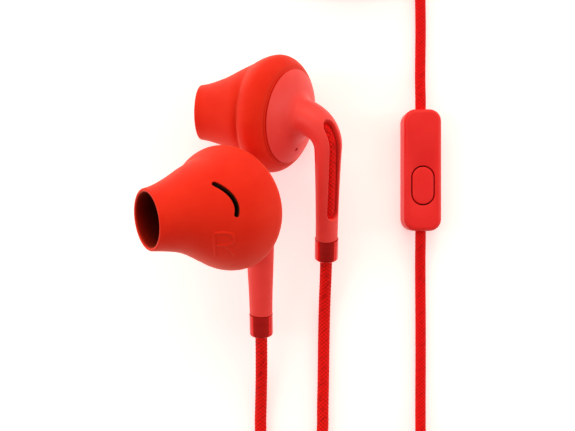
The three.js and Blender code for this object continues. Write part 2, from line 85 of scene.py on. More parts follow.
# The rear housing's inside and edge, as (radius, z). Then its dome starts at a depth, and ends at a
# radius, where the stem takes over.
CUP = [
    (4.6, -3.25), (6.05, -2.7), (6.05, -1.22), (6.07, -1.2), (6.72, -1.2), (6.74, -1.22),
    (6.75, -2.5), (6.8, -2.58), (6.95, -2.63), (7.06, -2.7), (7.08, -2.76),
]
REAR_DOME = {"depth": 2.84, "radius": 4.6}
FRONT_SHELL = [
    (6.1, -1.1), (6.75, -1.1), (6.75, 1.9), (5.85, 2.8), (3.3, 2.8), (3.3, 4.4),
    (2.6, 4.4), (2.6, 2.2), (5.2, 2.2), (6.1, 1.3), (6.1, -1.05),
]
GRILLE_DISC = [(AXIS, 3.8), (2.5, 3.8), (2.5, 4.05), (2.0, 4.12), (1.0, 4.16), (AXIS, 4.18)]

STEM_BACK = 9.05  # how far the straight stem is behind the bulb's middle
STEM_BEND = 4.1
STEM_FOOT = -18.72
# Half the stem's width and half its depth, at distances along it from the start of its bend.
STEM_SECTIONS = [
    (-1.07, 4.4, 4.4), (-0.9, 3.95, 3.93), (-0.65, 3.55, 3.5), (-0.3, 3.22, 3.12), (0.3, 2.98, 2.8),
    (1.2, 2.84, 2.56), (2.6, 2.7, 2.34), (4.4, 2.54, 2.12), (6.6, 2.38, 1.96), (9.5, 2.33, 1.82),
    (14.0, 2.14, 1.72), (18.0, 1.94, 1.7), (21.06, 1.86, 1.7),
]
# The slot is turned round the stem, towards the nozzle's side.
SLOT = {"from": 3.0, "to": 17.4, "width": 2.1, "depth": 2.3, "round": 0.16, "turn": math.radians(26)}
PORT = {"at": (-0.35, -4.95), "radius": 0.32, "depth": 0.7}  # a small hole low on the rear housing
CORD_SEAT = 0.5  # how far the cord inside the stem lies towards the slot
COLLAR = {"start": 0.06, "end": 3.6, "radius": 1.88, "bore": 1.07, "round": 0.62}

BRANCH_CORD = 1.9
MAIN_CORD = 1.7
BRANCH_CELL = 0.66  # the length of one strand's crossing, along the cord
MAIN_CELL = 0.6
BRAID_STRANDS = 8
BRAID_RELIEF = 0.05
BRAID_MEAN = 0.35  # the share of the relief that lies inside the cord's radius
FINE_STEP, COARSE_STEP = 0.16, 0.6  # between a cord's rings, in the picture and outside it
STEM_CORD_EASE = 0.06  # how much thinner the cord is inside the stem

REMOTE = {"place": (21.75, 7.32), "width": 6.05, "length": 19.65, "height": 4.2,
          "corner": 1.9, "edge": 0.7, "wall": 0.7}
BUTTON = {"width": 3.8, "length": 6.4, "offset": -2.5, "groove": 0.2}
SPLITTER = {"place": (21.75, -46.5), "width": 5.6, "length": 12.0, "height": 4.2,
            "corner": 2.4, "edge": 0.9, "wall": 1.0}
SHELL_GAP = 0.1
FOOT_EDGE = 0.5  # the rounding of the lower shells

BUDS = {
    "right": {"front": (-0.497, -0.189, 0.847), "up": (-0.006, 0.977, 0.214), "mirror": 1},
    "left": {"front": (-0.848, 0.193, -0.493), "up": (-0.005, 0.928, 0.374), "mirror": -1},
}

# The cords' routes, by the points of their centrelines, as the CAD tubes follow them.
ROUTES = {
    "right_cord_upper": [
        (-4.2, -18.6, 4.36), (-4.2, -19.5, 4.16), (-4.2, -22.5, 3.45), (-4.25, -26, 2.4),
        (-4.35, -30, 1.4), (-4.45, -33.6, 1.05), (-4.5, -36.2, 1.0), (-5.2, -38.7, 1.0),
        (-7.1, -40.6, 1.0), (-9.6, -41.3, 1.0), (-12, -41.3, 1.0), (-14.2, -41.3, 1.0),
    ],
    "right_cord_lower": [
        (-18.5, -62.95, 2.94), (-15.3, -63.2, 2.7), (-12.4, -63.9, 1.8), (-9.5, -64.8, 1.25),
        (-6, -66, 1.02), (-1.5, -66.9, 1.0), (4.5, -67.2, 1.0), (10, -66.1, 1.0),
        (14.6, -63.5, 1.0), (18, -60.3, 1.0), (20.7, -57.2, 1.05), (22.4, -55.3, 1.6),
        (22.8, -53.9, 2.0), (22.82, -52.0, 2.1),
    ],
    "left_cord_upper": [
        (6.16, -6.3, 5.08), (6.16, -7.25, 4.7), (6.15, -10, 3.6), (6.1, -13, 2.4),
        (6.05, -16.5, 1.4), (6.0, -20, 1.05), (5.9, -28, 1.0), (5.82, -32, 1.0),
        (5.8, -35, 1.0), (5.6, -36.8, 1.0), (5.0, -38.15, 1.0), (4.2, -39.2, 1.0),
        (3.0, -40.1, 1.0),
    ],
    "left_cord_lower": [
        (13, -60.8, 2.94), (16, -59.05, 2.93), (18.7, -57.2, 2.85), (20, -55.4, 2.55),
        (20.6, -54, 2.2), (20.68, -52.0, 2.1),
    ],
    "main_cord_lower": [
        (21.75, -41.1, 2.1), (21.75, -40.2, 2.1), (21.78, -38, 2.0), (21.9, -34, 1.3),
        (21.97, -30, 0.95), (22.0, -25, 0.9), (22.0, -18, 0.9), (21.95, -11, 0.95),
        (21.85, -7, 1.4), (21.76, -4.2, 2.0), (21.75, -2.0, 2.1),
    ],
    "main_cord_upper": [
        (21.75, 16.6, 2.1), (21.75, 17.45, 2.1), (21.76, 19, 2.0), (21.85, 22.5, 1.3),
        (21.95, 26.5, 0.95), (22.0, 31, 0.9), (21.9, 38, 0.9), (21.75, 44, 0.9),
    ],
}
# Each coil winds anticlockwise: inwards on the floor, outwards on top, and so on. Its layers
# are given by the turns in each, and its start by an angle in degrees.
COILS = {
    "left": {"centre": (4.5, -52.6), "outer": 12.3, "start": 104, "layers": (2.5, 2.044)},
    "right": {"centre": (-21.6, -52.6), "outer": 11.3, "start": 90, "layers": (2.5, 2.0)},
    "main": {"centre": (9.95, 51.0), "outer": 11.8, "start": 0, "layers": (3.6, 3.6, 3.6, 3.506)},
}
TURN_SPACING = 1.03  # between turns, in cord diameters
LAYER_RISE = 1.02  # between layers, in cord diameters
CLIMB = 0.2  # the share of a turn in which the cord climbs to the next layer
COIL_LIFT = 0.05  # from the floor to the lowest layer
POINTS_PER_TURN = 24
VIEW_EDGE = 37.5  # a cord further than this above or below the middle is out of the picture

PLUG = {"start": (-1.61, 59.35, 4.9), "heading": 200, "slope": 6.7, "relief": 5.0, "grip": 10.0}
PLUG_SEAT = 0.6  # how far the cord reaches into the strain relief
PLUG_BORE = MAIN_CORD / 2 + 0.08
PIN_RADIUS = 1.75
PLUG_GRIP = [
    (PLUG_BORE, 0.0), (2.3, 0.0), (3.0, 0.9), (3.0, 2.6), (2.88, 2.7), (2.88, 2.95), (3.0, 3.05),
    (3.0, 8.2), (2.88, 8.3), (2.88, 8.5), (3.0, 8.6), (3.0, 9.5), (2.6, 10.0), (PLUG_BORE, 10.0),
]
PLUG_SLEEVE = [(AXIS, 0), (2.5, 0), (2.5, 1.0), (PIN_RADIUS, 1.0), (PIN_RADIUS, 5.0), (AXIS, 5.0)]
PLUG_TIP = [
    (AXIS, 11.7), (PIN_RADIUS, 11.7), (1.1, 12.3), (1.55, 12.9), (1.5, 13.3), (0.5, 14.0), (AXIS, 14.0),
]

WORLD_LIGHT = {"low": (0.17, 0.16, 0.16), "high": (1.2, 1.04, 0.86)}
LIGHTS = {
    "key": {"place": (-40, 330, 300), "target": (0, 0, 10), "size": (320, 200), "power": 0.42,
            "color": (1, 0.82, 0.64)},
    "strip_left": {"place": (-311, 20, 218), "target": (0, 0, 5), "size": (60, 320), "power": 0.34},
    "strip_right": {"place": (330, 20, 120), "target": (0, 0, 5), "size": (44, 320), "power": 0.2},
}
CAMERA_HEIGHT = 110.0
CAMERA_SENSOR = 36
CAMERA_LENS = CAMERA_SENSOR * 660 / 575  # 660 pixels in a picture of 575
FLOOR_DROP = 0.06  # how far the floor is below the cords, so that no faces share its plane

# Where a Mix node has its colours: its own names for them are not unique.
MIX_A, MIX_B, MIX_RESULT = 6, 7, 2


# ---- frames

def middle(node):
    low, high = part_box(node)
    return np.array((low + high) / 2)


LAYOUT = middle("remote_rear_shell") - np.array([*REMOTE["place"], 0]) * MM
LAYOUT[2] = 0


def lay(points, place=(0, 0)):
    """Points of the layout, in millimetres, as points of the row frame in metres."""
    moved = np.asarray(points, float) + np.array([place[0], place[1], 0])
    return moved * MM + LAYOUT


def unit(vector):
    vector = np.asarray(vector, float)
    return vector / np.linalg.norm(vector)


class Bud:
    """Where an earbud lies. The left one is the right one's mirror image."""

    def __init__(self, side):
        facts = BUDS[side]
        front = unit(facts["front"])
        across = unit(np.cross(facts["up"], front))
        self.side = side
        self.axes = np.array([facts["mirror"] * across, np.cross(front, across), front])
        self.centre = middle(f"{side}_magnet") + front * MAGNET_DEPTH * MM

    def place(self, points):
        return np.asarray(points, float) @ self.axes * MM + self.centre


# ---- meshes

def add(name, data):
    """A new object in the scene."""
    made = bpy.data.objects.new(name, data)
    bpy.context.scene.collection.objects.link(made)
    return made


def mesh_object(name, verts, faces, material, uvs=None, sharp=None):
    """A closed mesh with its faces pointing out. UVs are one for each corner of each face."""
    mesh = bpy.data.meshes.new(name)
    mesh.from_pydata(np.asarray(verts).tolist(), [], faces)
    if uvs is not None:
        layer = mesh.uv_layers.new(name="UVMap")
        layer.data.foreach_set("uv", np.asarray(uvs, np.float32).ravel())
    shape = bmesh.new()
    shape.from_mesh(mesh)
    bmesh.ops.recalc_face_normals(shape, faces=shape.faces)
    shape.to_mesh(mesh)
    shape.free()
    mesh.materials.append(material)
    mesh.shade_smooth()
    if sharp:
        mesh.set_sharp_from_angle(angle=math.radians(sharp))
    return add(name, mesh)


def settle(piece, body, slot, *nodes):
    """Puts a piece on the body that it rides on and hides the CAD nodes that it replaces. The slot is
    not used.
    """
    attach(piece, body)
    if nodes:
        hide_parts(*nodes)
    return piece


def bands(count, around, first=0, loop=False):
    """The faces between rings of points. With loop, the last ring joins the first."""
    faces = []
    for row in range(count if loop else count - 1):
        low, high = first + row * around, first + ((row + 1) % count) * around
        for k in range(around):
            n = (k + 1) % around
            faces.append((low + k, low + n, high + n, high + k))
    return faces


def ends(count, around, first=0):
    """The faces that fill the first and the last of the rings."""
    last = first + (count - 1) * around
    return [tuple(range(first, first + around))[::-1], tuple(range(last, last + around))]


def loft(name, rings, material, loop=False, along=None, sharp=None):
    """A surface through rings of points, closed round each ring. With loop, the last ring joins
    the first, and otherwise each end is filled. With along, which only goes without loop, U runs
    round the ring and V is along."""
    rings = np.asarray(rings, float)
    count, around = rings.shape[:2]
    faces, uvs = bands(count, around, loop=loop), None
    if not loop:
        faces += ends(count, around)
    if along is not None:
        uvs = []
        for near, far in zip(along, along[1:]):
            for a, b in ((k / around, (k + 1) / around) for k in range(around)):
                uvs += [(a, near), (b, near), (b, far), (a, far)]
        uvs += [(0.5, along[0])] * around + [(0.5, along[-1])] * around
    return mesh_object(name, rings.reshape(-1, 3), faces, material, uvs, sharp)


def round_angles(count):
    return np.arange(count) * TAU / count


def circle(radius, z, angles):
    """Points round the Z axis."""
    return np.column_stack((radius * np.cos(angles), radius * np.sin(angles), np.full(len(angles), z)))


def oval(centre, first, second, angles):
    """Points round an oval, whose half-axes are the two vectors."""
    return centre + np.outer(np.cos(angles), first) + np.outer(np.sin(angles), second)


def turned(name, profile, material, place, segments=64, sharp=32):
    """A solid of revolution about local Z, from a profile of (radius, z) points. It closes on
    itself, unless it starts and ends at the axis."""
    angles = round_angles(segments)
    rings = [place(circle(r, z, angles)) for r, z in profile]
    closed = profile[0][0] > AXIS and profile[-1][0] > AXIS
    return loft(name, rings, material, loop=closed, sharp=sharp)


def slot_cutter(point_at, length, half, depth, rounding):
    """A cutter for a slot with round ends. point_at gives the point that lies some way along
    the slot, across it and above the surface. The slot's rim is rounded."""
    turns = [math.acos(1 - t) for t in np.linspace(0, 1, 7)]
    layers = [(-depth, 0.0)]
    layers += [(rounding * (math.sin(t) - 1), rounding * (1 - math.cos(t))) for t in turns]
    layers.append((4 * rounding, rounding))
    ease = np.sin(np.linspace(0, math.pi / 2, 9)) ** 2
    tip = 0.02  # half the width at the very ends, which keeps their points apart
    rings = []
    for height, grow in layers:
        wide = half + grow
        end = wide * ease
        total = length + 2 * grow
        run = np.concatenate((end, np.linspace(end[-1], total - end[-1], 42)[1:-1], total - end[::-1]))
        near = np.minimum(np.minimum(run, total - run), wide)
        width = np.maximum(np.sqrt(wide ** 2 - (wide - near) ** 2), tip)
        chain = [point_at(u - grow, w, height) for u, w in zip(run, width)]
        back = [point_at(u - grow, -w, height) for u, w in zip(run[::-1], width[::-1])]
        rings.append(chain + back)
    around = len(rings[0])
    faces = bands(len(rings), around)
    for base in (0, (len(rings) - 1) * around):
        for k in range(around // 2 - 1):
            faces.append((base + k, base + k + 1, base + around - 2 - k, base + around - 1 - k))
    return np.array(rings).reshape(-1, 3), faces


def cut(piece, verts, faces, sharp=35):
    """Cuts a closed shape out of a piece."""
    cutter = mesh_object(f"{piece.name}_cutter", verts, faces, piece.data.materials[0])
    modifier = piece.modifiers.new("cut", "BOOLEAN")
    modifier.operation = "DIFFERENCE"
    modifier.solver = "EXACT"
    modifier.object = cutter
    result = piece.evaluated_get(bpy.context.evaluated_depsgraph_get())
    remaining = bpy.data.meshes.new_from_object(result)
    piece.modifiers.clear()
    piece.data = remaining
    remaining.shade_smooth()
    remaining.set_sharp_from_angle(angle=math.radians(sharp))
    bpy.data.objects.remove(cutter)


def rounded(corners, radius, steps=5):
    """A profile of (radius, z) points with every corner but its ends rounded."""
    most = 0.45  # the share of a side that a rounding may take
    points = [np.array(corners[0], float)]
    for before, here, after in zip(corners, corners[1:], corners[2:]):
        before, here, after = (np.array(p, float) for p in (before, here, after))
        back, on = before - here, after - here
        reach = min(radius, np.linalg.norm(back) * most, np.linalg.norm(on) * most)
        start, end = here + unit(back) * reach, here + unit(on) * reach
        for t in np.linspace(0, 1, steps):
            points.append((1 - t) ** 2 * start + 2 * t * (1 - t) * here + t ** 2 * end)
    points.append(np.array(corners[-1], float))
    return [tuple(p) for p in points]


def smoothstep(t):
    u = np.clip(t, 0, 1)
    return u * u * (3 - 2 * u)


def spline(points, step=0.1):
    """A smooth curve through the points (centripetal Catmull-Rom), sampled about every step."""
    p = np.asarray(points, float)
    p = np.vstack((2 * p[0] - p[1], p, 2 * p[-1] - p[-2]))
    knots = np.concatenate(([0], np.cumsum(np.sqrt(np.linalg.norm(np.diff(p, axis=0), axis=1)))))
    out = []
    for i in range(1, len(p) - 2):
        t0, t1, t2, t3 = knots[i - 1:i + 3]
        count = max(2, int(np.linalg.norm(p[i + 1] - p[i]) / step))
        t = np.linspace(t1, t2, count, endpoint=False)[:, None]
        a1 = ((t1 - t) * p[i - 1] + (t - t0) * p[i]) / (t1 - t0)
        a2 = ((t2 - t) * p[i] + (t - t1) * p[i + 1]) / (t2 - t1)
        a3 = ((t3 - t) * p[i + 1] + (t - t2) * p[i + 2]) / (t3 - t2)
        b1 = ((t2 - t) * a1 + (t - t0) * a2) / (t2 - t0)
        b2 = ((t3 - t) * a2 + (t - t1) * a3) / (t3 - t1)
        out.append(((t2 - t) * b1 + (t - t1) * b2) / (t2 - t1))
    return np.vstack((*out, p[-2]))


def lengths(points):
    """How far along the path each of its points is."""
    return np.concatenate(([0], np.cumsum(np.linalg.norm(np.diff(points, axis=0), axis=1))))


# ---- materials

class Graph:
    """A material's node tree, with short calls for the nodes it needs."""

    def __init__(self, name):
        self.material = bpy.data.materials.new(name)
        self.material.use_nodes = True
        self.tree = self.material.node_tree
        self.shader = self.tree.nodes["Principled BSDF"]

    def node(self, kind, inputs=None, **settings):
        made = self.tree.nodes.new(kind)
        for key, value in settings.items():
            setattr(made, key, value)
        for key, value in (inputs or {}).items():
            self.put(made.inputs[key], value)
        return made

    def put(self, socket, value):
        if isinstance(value, bpy.types.NodeSocket):
            self.tree.links.new(value, socket)
        else:
            socket.default_value = value

    def surface(self, color, roughness, constants):
        """The colour and roughness, which may vary, and the shader's constant values."""
        self.put(self.shader.inputs["Base Color"], color)
        self.put(self.shader.inputs["Roughness"], roughness)
        for name, value in constants.items():
            self.shader.inputs[name].default_value = value

    def math(self, operation, a, b=0.0):
        made = self.node("ShaderNodeMath", operation=operation)
        self.put(made.inputs[0], a)
        self.put(made.inputs[1], b)
        return made.outputs[0]

    def join(self, x, y):
        return self.node("ShaderNodeCombineXYZ", {"X": x, "Y": y}).outputs[0]

    def place(self, stretch=(1, 1, 1)):
        coords = self.node("ShaderNodeTexCoord").outputs["Object"]
        return self.node("ShaderNodeMapping", {"Vector": coords, "Scale": stretch}).outputs[0]

    def noise(self, scale, detail=3.0, where=None):
        inputs = {"Scale": scale, "Detail": detail, "Vector": where or self.place()}
        return self.node("ShaderNodeTexNoise", inputs).outputs["Fac"]

    def ramp(self, fac, *stops):
        made = self.node("ShaderNodeValToRGB", {"Fac": fac})
        elements = made.color_ramp.elements
        while len(elements) < len(stops):
            elements.new(0.5)
        for element, (position, color) in zip(elements, stops):
            element.position = position
            element.color = (*color, 1)
        return made.outputs["Color"]

    def between(self, fac, low, high):
        made = self.node("ShaderNodeMapRange", {"Value": fac, "To Min": low, "To Max": high})
        return made.outputs[0]

    def mix(self, fac, first, second):
        made = self.node("ShaderNodeMix", {"Factor": fac, MIX_A: first, MIX_B: second},
                         data_type="RGBA")
        return made.outputs[MIX_RESULT]

    def bump(self, height, distance, strength=1.0):
        inputs = {"Height": height, "Distance": distance * MM, "Strength": strength}
        self.put(self.shader.inputs["Normal"], self.node("ShaderNodeBump", inputs).outputs[0])


def silicone():
    g = Graph("soft_silicone")
    tone = g.ramp(g.noise(260, 2), (0.3, (0.77, 0.018, 0.008)), (0.7, (0.81, 0.026, 0.011)))
    # Painted shade: where silicone faces other silicone close by, as inside the nozzle, the AO node
    # darkens the colour towards a deep red.
    painted_shade_ao = g.node("ShaderNodeAmbientOcclusion", {"Distance": 14 * MM}, samples=8, only_local=True)
    unshaded_share = g.between(painted_shade_ao.outputs["AO"], -0.35, 1.0)
    g.surface(g.mix(unshaded_share, (0.08, 0.0, 0.0, 1), tone), g.between(g.noise(900, 2), 0.50, 0.62),
              {"Specular IOR Level": 0.25, "Specular Tint": (1.0, 0.35, 0.15, 1),
               "Sheen Weight": 0.14, "Sheen Roughness": 0.4, "Sheen Tint": (1.0, 0.45, 0.15, 1)})
    g.bump(g.noise(9000, 4), 0.012, 0.6)
    return g.material


def shell_plastic():
    g = Graph("coral_plastic")
    g.surface(g.ramp(g.noise(220, 2), (0.3, (0.88, 0.045, 0.038)), (0.7, (0.92, 0.056, 0.046))),
              g.between(g.noise(700, 2), 0.40, 0.50),
              {"Specular IOR Level": 0.3, "Sheen Weight": 0.05, "Sheen Tint": (1.0, 0.5, 0.4, 1)})
    g.bump(g.noise(5000, 3), 0.008, 0.5)
    return g.material


def remote_plastic():
    g = Graph("remote_plastic")
    g.surface(g.ramp(g.noise(240, 2), (0.3, (0.84, 0.014, 0.014)), (0.7, (0.88, 0.020, 0.019))),
              g.between(g.noise(800, 2), 0.36, 0.46), {"Specular IOR Level": 0.25})
    g.bump(g.noise(6000, 3), 0.008, 0.5)
    return g.material


def red_metal():
    g = Graph("red_metal")
    fine = g.noise(300, 4, g.place((0.3, 30, 0.3)))
    g.surface(g.ramp(fine, (0.3, (0.66, 0.004, 0.003)), (0.7, (0.76, 0.009, 0.007))),
              g.between(fine, 0.11, 0.17),
              {"Metallic": 0.85, "Coat Weight": 0.3, "Coat Roughness": 0.06})
    g.bump(fine, 0.004, 0.4)
    return g.material


def braid(name, cell, base, shade_and_fleck_color):
    """A braided sleeve. U runs once round it, and V is the distance along in millimetres."""
    g = Graph(name)
    uv = g.node("ShaderNodeSeparateXYZ", {"Vector": g.node("ShaderNodeTexCoord").outputs["UV"]})
    turns = g.math("MULTIPLY", uv.outputs["X"], BRAID_STRANDS)
    along = g.math("DIVIDE", uv.outputs["Y"], cell)
    rising, falling = g.math("ADD", turns, along), g.math("SUBTRACT", turns, along)

    def strand(across, length):
        """The height of a strand: round across, and dipping where it goes under another."""
        hump = g.math("SINE", g.math("MULTIPLY", g.math("FRACT", across), math.pi))
        dip = g.math("SINE", g.math("MULTIPLY", g.math("FRACT", length), math.pi))
        return g.math("MULTIPLY", hump, g.math("ADD", g.math("MULTIPLY", dip, 0.5), 0.5))

    odd = g.math("PINGPONG", g.math("ADD", g.math("FLOOR", rising), g.math("FLOOR", falling)), 1.0)
    height = g.node("ShaderNodeMix", {"Factor": odd, "A": strand(rising, falling),
                                      "B": strand(falling, rising)}).outputs[0]
    # Painted shade: the colour is lighter on the strands' crowns and darkens where they dip and between
    # them.
    shade = g.ramp(height, (0.05, shade_and_fleck_color), (0.5, base))
    # Flecks are longer along the strands that rise.
    slanted = g.join(rising, g.math("MULTIPLY", falling, 0.3))
    fleck = g.node("ShaderNodeMapRange", {"Value": g.noise(0.9, 2, slanted),
                                          "From Min": 0.54, "From Max": 0.66}).outputs[0]
    fibres = g.noise(1.5, 3, g.join(g.math("MULTIPLY", rising, 6), falling))
    g.surface(g.mix(g.math("MULTIPLY", fleck, 0.6), shade, (*shade_and_fleck_color, 1)),
              g.between(fibres, 0.6, 0.85), {"Specular IOR Level": 0.15})
    g.bump(g.math("ADD", height, g.math("MULTIPLY", fibres, 0.2)), 0.05, 0.5)
    return g.material


def plain(name, low, high, roughness, metallic=0.0, scale=600, stretch=(1, 1, 1), depth=0.006):
    """A simple finish whose colour, gloss and surface vary finely."""
    g = Graph(name)
    fine = g.noise(scale, 4, g.place(stretch))
    g.surface(g.ramp(fine, (0.3, low), (0.7, high)),
              g.between(fine, roughness * 0.8, roughness * 1.2), {"Metallic": metallic})
    g.bump(g.noise(scale * 8, 3), depth, 0.5)
    return g.material


def perforated_steel():
    """The grille over the driver's mouth: a close pattern of round holes."""
    g = Graph("grille")
    cells = g.node("ShaderNodeTexVoronoi", {"Scale": 1700, "Vector": g.place(), "Randomness": 0.0})
    out = cells.outputs["Distance"]
    # Painted shade: the holes are near-black dots, standing in for the dark space behind them.
    g.surface(g.ramp(out, (0.30, (0.004, 0.004, 0.004)), (0.36, (0.10, 0.09, 0.09))),
              g.between(g.noise(900), 0.35, 0.5), {"Metallic": 0.8})
    g.bump(out, 0.05, 0.8)
    return g.material


SILICONE = silicone()
SHELL = shell_plastic()
REMOTE_RED = remote_plastic()
RED_METAL = red_metal()
BRANCH_BRAID = braid("branch_braid", BRANCH_CELL, (0.88, 0.006, 0.003), (0.40, 0.001, 0.001))
MAIN_BRAID = braid("main_braid", MAIN_CELL, (0.86, 0.003, 0.003), (0.50, 0.001, 0.001))
BLACK = plain("black_plastic", (0.016, 0.016, 0.017), (0.03, 0.03, 0.031), 0.45)
STEEL = plain("steel", (0.42, 0.43, 0.45), (0.56, 0.57, 0.59), 0.32, 1.0)
MAGNET = plain("nickel", (0.5, 0.5, 0.5), (0.62, 0.61, 0.6), 0.2, 1.0)
COPPER = plain("copper_winding", (0.55, 0.22, 0.09), (0.72, 0.34, 0.16), 0.3, 1.0, 900, (1, 1, 12))
FILM = plain("film", (0.55, 0.58, 0.6), (0.66, 0.68, 0.7), 0.25)
BOARD = plain("circuit_board", (0.01, 0.11, 0.035), (0.02, 0.17, 0.06), 0.35)
GOLD = plain("gold_plate", (0.83, 0.55, 0.2), (0.92, 0.66, 0.28), 0.16, 1.0, 500, (1, 1, 8), 0.003)
RELIEF = plain("relief_rubber", (0.58, 0.02, 0.014), (0.66, 0.028, 0.02), 0.6)
GRILLE = perforated_steel()


# ---- the soft cover

def cover_profile(s):
    """A dome that runs into a cone."""
    if s <= 0:
        return BULB_RADIUS * math.sqrt(1 - (s / BULB_REAR_DEPTH) ** 2)
    fullness, blend = BULB_FRONT["fullness"], NOZZLE["blend"]
    dome = BULB_RADIUS * max(1 - (s / BULB_FRONT["depth"]) ** fullness, 0) ** (1 / fullness)
    cone = (NOZZLE["rim"] + NOZZLE["taper"] * (NOZZLE["reach"] - s)) * smoothstep(s / 3)
    return (dome ** blend + cone ** blend) ** (1 / blend)


def cover_radius(s):
    """The cover's outer radius at a distance along its bent axis. It is averaged over a stretch
    where the dome meets the cone."""
    window = NECK_EASING * float(smoothstep((s - 1) / 3))
    return float(np.mean([cover_profile(s + window * t) for t in np.linspace(-1, 1, 9)]))


def cover_ring(s, radius, angles):
    """A ring round the cover's axis, which bends over from the bulb to the nozzle. Where the
    nozzle begins, its rings are wider on one side."""
    bend = NOZZLE["tilt"] * smoothstep((s - 0.5) / 6)
    along = np.array([-math.sin(bend), 0, math.cos(bend)])
    across = np.array([math.cos(bend), 0, math.sin(bend)])
    up = np.array([0, 1, 0])
    flare = FLARE["amount"] * smoothstep((s - 3) / 3.5) * (1 - smoothstep((s - 6.8) / 4.5))
    towards = math.cos(FLARE["towards"]) * across + math.sin(FLARE["towards"]) * up
    wide = radius + flare
    return oval(along * s + flare * towards, wide * across, wide * up, angles)


def cover_point(s, angle):
    """A point on the cover's outside, and the outward direction there."""
    step = 0.02
    places = ((s, angle), (s, angle - step), (s, angle + step), (s - step, angle), (s + step, angle))
    point, before, after, behind, ahead = (
        cover_ring(a, cover_radius(a), [b])[0] for a, b in places)
    return point, unit(np.cross(after - before, ahead - behind))


def vent_cutter(bud):
    """The slanted slot in the front of the cover."""
    start, end = np.array(VENT["from"]), np.array(VENT["to"])

    def spot(share):
        """Where the bowed slot is, from its start at 0 to its end at 1."""
        return start + (end - start) * share - np.array([VENT["bow"] * 4 * share * (1 - share), 0])

    line = np.array([cover_point(*spot(t))[0] for t in np.linspace(0, 1, 20)])
    length = float(lengths(line)[-1])

    def point_at(run, sideways, height):
        share = run / length
        point, out = cover_point(*spot(share))
        ahead = cover_point(*spot(share + 0.01))[0]
        across = unit(np.cross(out, ahead - point))
        return bud.place(point + across * sideways + out * height)

    return slot_cutter(point_at, length, VENT["width"] / 2, VENT["depth"], VENT["round"])


def silicone_cover(bud):
    """The soft cover: rings up its outside, over the nozzle's rim and back down its inside."""
    lip = LIP["round"]
    outer = [(COVER_BACK + lip * (1 - math.cos(t)), LIP["radius"] - lip + lip * math.sin(t))
             for t in np.linspace(0, math.pi / 2, 5)]
    stations = np.concatenate((np.linspace(COVER_BACK + lip + 0.12, 9, 64),
                               np.linspace(9.2, RIM_START, 14)))
    outer += [(s, cover_radius(s)) for s in stations]
    half = RIM_WALL / 2
    mid = cover_radius(RIM_START) - half
    rim = [(RIM_START + half * math.cos(t), mid + half * math.sin(t))
           for t in np.linspace(math.pi / 2, -math.pi / 2, 9)[1:-1]]

    def inside(s):
        """The inner radius. The wall gets thinner from the dome to the rim."""
        share = np.clip((s - 4) / 5, 0, 1)
        wall = DOME_WALL + (RIM_WALL - DOME_WALL) * share
        return min(COVER_BORE, cover_radius(s) - wall)

    inner = [(s, inside(s)) for s in np.linspace(RIM_START, COVER_BACK + 0.05, 40)]
    angles = round_angles(256)
    rings = [bud.place(cover_ring(s, r, angles)) for s, r in outer + rim + inner]
    cover = loft(f"{bud.side}_cover", rings, SILICONE, loop=True)
    cut(cover, *vent_cutter(bud))
    settle(cover, f"{bud.side}_cover", "silicone", f"{bud.side}_silicone_cover")
    side_mark(bud, cover)


def side_mark(bud, cover):
    """The letter of the earbud's side, raised a little from the cover."""
    skin = BVHTree.FromPolygons([v.co for v in cover.data.vertices],
                                [p.vertices for p in cover.data.polygons])
    point, out = cover_point(*SIDE_MARK["place"])
    centre, out = bud.place(point), unit(out @ bud.axes)
    up = unit(bud.axes[1] - out * (bud.axes[1] @ out))
    right = np.cross(up, out)
    size, half = SIDE_MARK["height"], SIDE_MARK["stroke"] / 2
    relief = SIDE_MARK["relief"]
    shoulder, root = (half * 0.6, relief * 0.85), -0.1  # the section's root is inside the cover
    section = [(-half, root), (-half, 0.0), (-shoulder[0], shoulder[1]), (0, relief), shoulder,
               (half, 0.0), (half, root)]
    above = 3 * MM  # where the rays that find the cover start
    x_middle, y_middle = SIDE_MARK["middle"]
    verts, faces = [], []
    for stroke in MARK_STROKES[bud.side]:
        run = spline([(x - x_middle, y - y_middle, 0) for x, y in stroke], 0.03)
        heads = np.gradient(run, axis=0)
        first = len(verts)
        for (x, y, _), (hx, hy, _) in zip(run, heads):
            aim = centre + (right * x + up * y) * size * MM + out * above
            spot, normal, _, _ = skin.ray_cast(Vector(aim), Vector(-out))
            normal = np.array(normal)
            across = unit(np.cross(normal, right * hx + up * hy))
            verts += [np.array(spot) + (across * a + normal * b) * MM for a, b in section]
        faces += bands(len(run), len(section), first) + ends(len(run), len(section), first)
    mark = mesh_object(f"{bud.side}_side_mark", verts, faces, SILICONE, sharp=50)
    settle(mark, f"{bud.side}_cover", "silicone")


# ---- the rear housing and stem

BEND_LENGTH = STEM_BEND * math.pi / 2
FOOT_DISTANCE = BEND_LENGTH - STEM_FOOT - STEM_BEND


def stem_frame(distance, turn=0.0):
    """The point on the stem's line, and the directions across the stem and away from the ear,
    both turned round that line."""
    angle = min(max(distance / STEM_BEND, 0), math.pi / 2)
    away = np.array([0, math.cos(angle), -math.sin(angle)])
    sideways = np.array([1, 0, 0])
    centre = np.array([0, -STEM_BEND, STEM_BEND - STEM_BACK]) + away * STEM_BEND
    centre[2] -= min(distance, 0)
    centre[1] -= max(distance - BEND_LENGTH, 0)
    across = math.cos(turn) * sideways + math.sin(turn) * away
    return centre, across, math.cos(turn) * away - math.sin(turn) * sideways


def cord_offset(distance):
    """How far the cord lies towards the slot: only along it, and not at the collar."""
    return CORD_SEAT * (smoothstep((distance + 1) / 4) - smoothstep((distance - 15) / 4))


STEM_CURVE = spline(STEM_SECTIONS, 0.05)


def stem_section(distance):
    """Half the stem's width and half its depth."""
    return [np.interp(distance, STEM_CURVE[:, 0], STEM_CURVE[:, i]) for i in (1, 2)]


